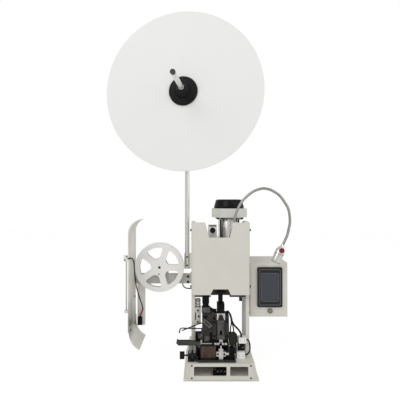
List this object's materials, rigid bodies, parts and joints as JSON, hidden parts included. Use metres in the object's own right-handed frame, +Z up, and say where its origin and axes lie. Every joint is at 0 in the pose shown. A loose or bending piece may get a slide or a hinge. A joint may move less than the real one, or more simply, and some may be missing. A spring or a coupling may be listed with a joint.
{
  "type": "terminal crimping machine",
  "caption": "bench press that crimps reeled wire terminals: applicator, terminal reel on a mast, paper take-up, gooseneck lamp and touch-screen control box",
  "frame": {"origin": "on the surface that the machine stands on, on the middle line of the base, under the side plates", "axes": "+X to the operator's right, +Y away from the operator, +Z up"},
  "size_m": [0.6276, 0.3619, 1.217],
  "materials": {
    "ivory_paint": "satin powder coat",
    "head_casting": "grey satin paint",
    "polished_aluminium": "turned and polished",
    "bright_steel": "ground steel",
    "chromed_steel": "chrome plate",
    "blackened_steel": "black oxide, oiled",
    "tool_steel": "dark machined steel",
    "bronze": "machined bronze",
    "brass_plate": "polished brass",
    "black_plastic": "moulded black",
    "gloss_black": "glossy black",
    "white_plastic": "moulded white",
    "white_sheet": "white foam board",
    "chute_steel": "stainless sheet",
    "red_plastic": "glossy red",
    "screen_glass": "dark display glass",
    "cable_rubber": "black cable sheath",
    "brown_phenolic": "brown laminate"
  },
  "bodies": {
    "root": {"base_casting": "ivory_paint", "base_front_plate": "ivory_paint", "base_terminal_block": "black_plastic", "side_plate_left": "ivory_paint", "side_plate_right": "ivory_paint", "head_block": "head_casting", "crank_bushes": "bronze", "gearbox_housing": "head_casting", "front_cover": "ivory_paint", "machine_screws": "blackened_steel", "motor_body": "polished_aluminium", "motor_end_bell": "polished_aluminium", "motor_fan_cover": "black_plastic", "junction_box": "white_plastic", "slide_guides": "bronze", "bolster_plate": "tool_steel", "applicator_base": "tool_steel", "applicator_frame": "tool_steel", "anvil": "bright_steel", "anvil_holder": "bright_steel", "strip_guide": "brown_phenolic", "strip_rail": "bright_steel", "feed_cylinder": "blackened_steel", "feed_bracket": "tool_steel", "entry_guide": "tool_steel", "spring_block": "blackened_steel", "guide_rods": "blackened_steel", "connector_blocks": "white_plastic", "applicator_leads": "cable_rubber", "valve_block": "ivory_paint", "mast_holder": "bright_steel", "takeup_bracket": "head_casting", "takeup_motor": "tool_steel", "takeup_lead": "cable_rubber", "chute_upper": "chute_steel", "chute_lower": "chute_steel", "guide_plate": "ivory_paint", "chute_lead": "cable_rubber", "lamp_socket": "chromed_steel", "control_box": "ivory_paint", "display_bezel": "gloss_black", "display_screen": "screen_glass"},
    "crank": {"crankshaft": "bright_steel"},
    "ram": {"press_ram": "blackened_steel", "applicator_ram": "tool_steel", "crimpers": "bright_steel", "dial_bracket": "bright_steel"},
    "dial": {"height_dial": "red_plastic"},
    "feed": {"feed_lever": "bright_steel"},
    "adjuster": {"adjusting_knob": "black_plastic"},
    "mast": {"reel_mast": "chromed_steel", "reel_axle": "chromed_steel"},
    "reel": {"reel_disc": "white_sheet", "reel_hub": "black_plastic"},
    "takeup": {"takeup_reel": "white_plastic"},
    "sensor": {"sensor_lever": "bright_steel"},
    "lamp": {"gooseneck": "chromed_steel", "lamp_head": "chromed_steel"},
    "lamp_switch": {"lamp_button": "red_plastic"},
    "power_switch": {"power_button": "brass_plate"}
  },
  "joints": [
    {"name": "ram_slide", "type": "slide", "parent": "root", "child": "ram", "axis": [0, 0, 1], "range_m": [-0.0095, 0.0205]},
    {"name": "crank_turn", "type": "hinge", "parent": "root", "child": "crank", "pos_m": [0, -0.05, 0.3693], "axis": [0, 1, 0], "range_deg": [-123.05, 57.05]},
    {"name": "dial_turn", "type": "hinge", "parent": "ram", "child": "dial", "pos_m": [0, -0.136, 0.1998], "axis": [0, 1, 0], "continuous": true},
    {"name": "feed_swing", "type": "hinge", "parent": "root", "child": "feed", "pos_m": [-0.0542, -0.122, 0.18588], "axis": [0, 1, 0], "range_deg": [-3.85, 8.25]},
    {"name": "adjuster_turn", "type": "hinge", "parent": "root", "child": "adjuster", "pos_m": [-0.12, -0.127, 0.074], "axis": [1, 0, 0], "continuous": true},
    {"name": "mast_swivel", "type": "hinge", "parent": "root", "child": "mast", "pos_m": [-0.114, -0.01, 0.36], "axis": [0, 0, 1], "range_deg": [-25, 25]},
    {"name": "reel_spin", "type": "hinge", "parent": "mast", "child": "reel", "pos_m": [-0.12403, -0.08937, 0.947], "axis": [-0.1253, -0.9921, 0], "continuous": true},
    {"name": "takeup_spin", "type": "hinge", "parent": "root", "child": "takeup", "pos_m": [-0.21, -0.036, 0.344], "axis": [0, 1, 0], "continuous": true},
    {"name": "sensor_swing", "type": "hinge", "parent": "root", "child": "sensor", "pos_m": [-0.3085, -0.1325, 0.388], "axis": [0, 1, 0], "range_deg": [0, 35]},
    {"name": "lamp_swivel", "type": "hinge", "parent": "root", "child": "lamp", "pos_m": [0.044, -0.106, 0.503], "axis": [0, 0, 1], "range_deg": [-60, 15]},
    {"name": "lamp_press", "type": "slide", "parent": "lamp", "child": "lamp_switch", "axis": [0, 1, 0], "range_m": [0, 0.0015], "stiffness_N_per_m": 400},
    {"name": "power_press", "type": "slide", "parent": "root", "child": "power_switch", "axis": [0, 1, 0], "range_m": [0, 0.003], "stiffness_N_per_m": 400}
  ],
  "couplings": [
    {"joint": "crank_turn", "follows": "ram_slide", "rad_per_m": -104.72},
    {"joint": "feed_swing", "follows": "ram_slide", "rad_per_m": 6.9813}
  ]
}
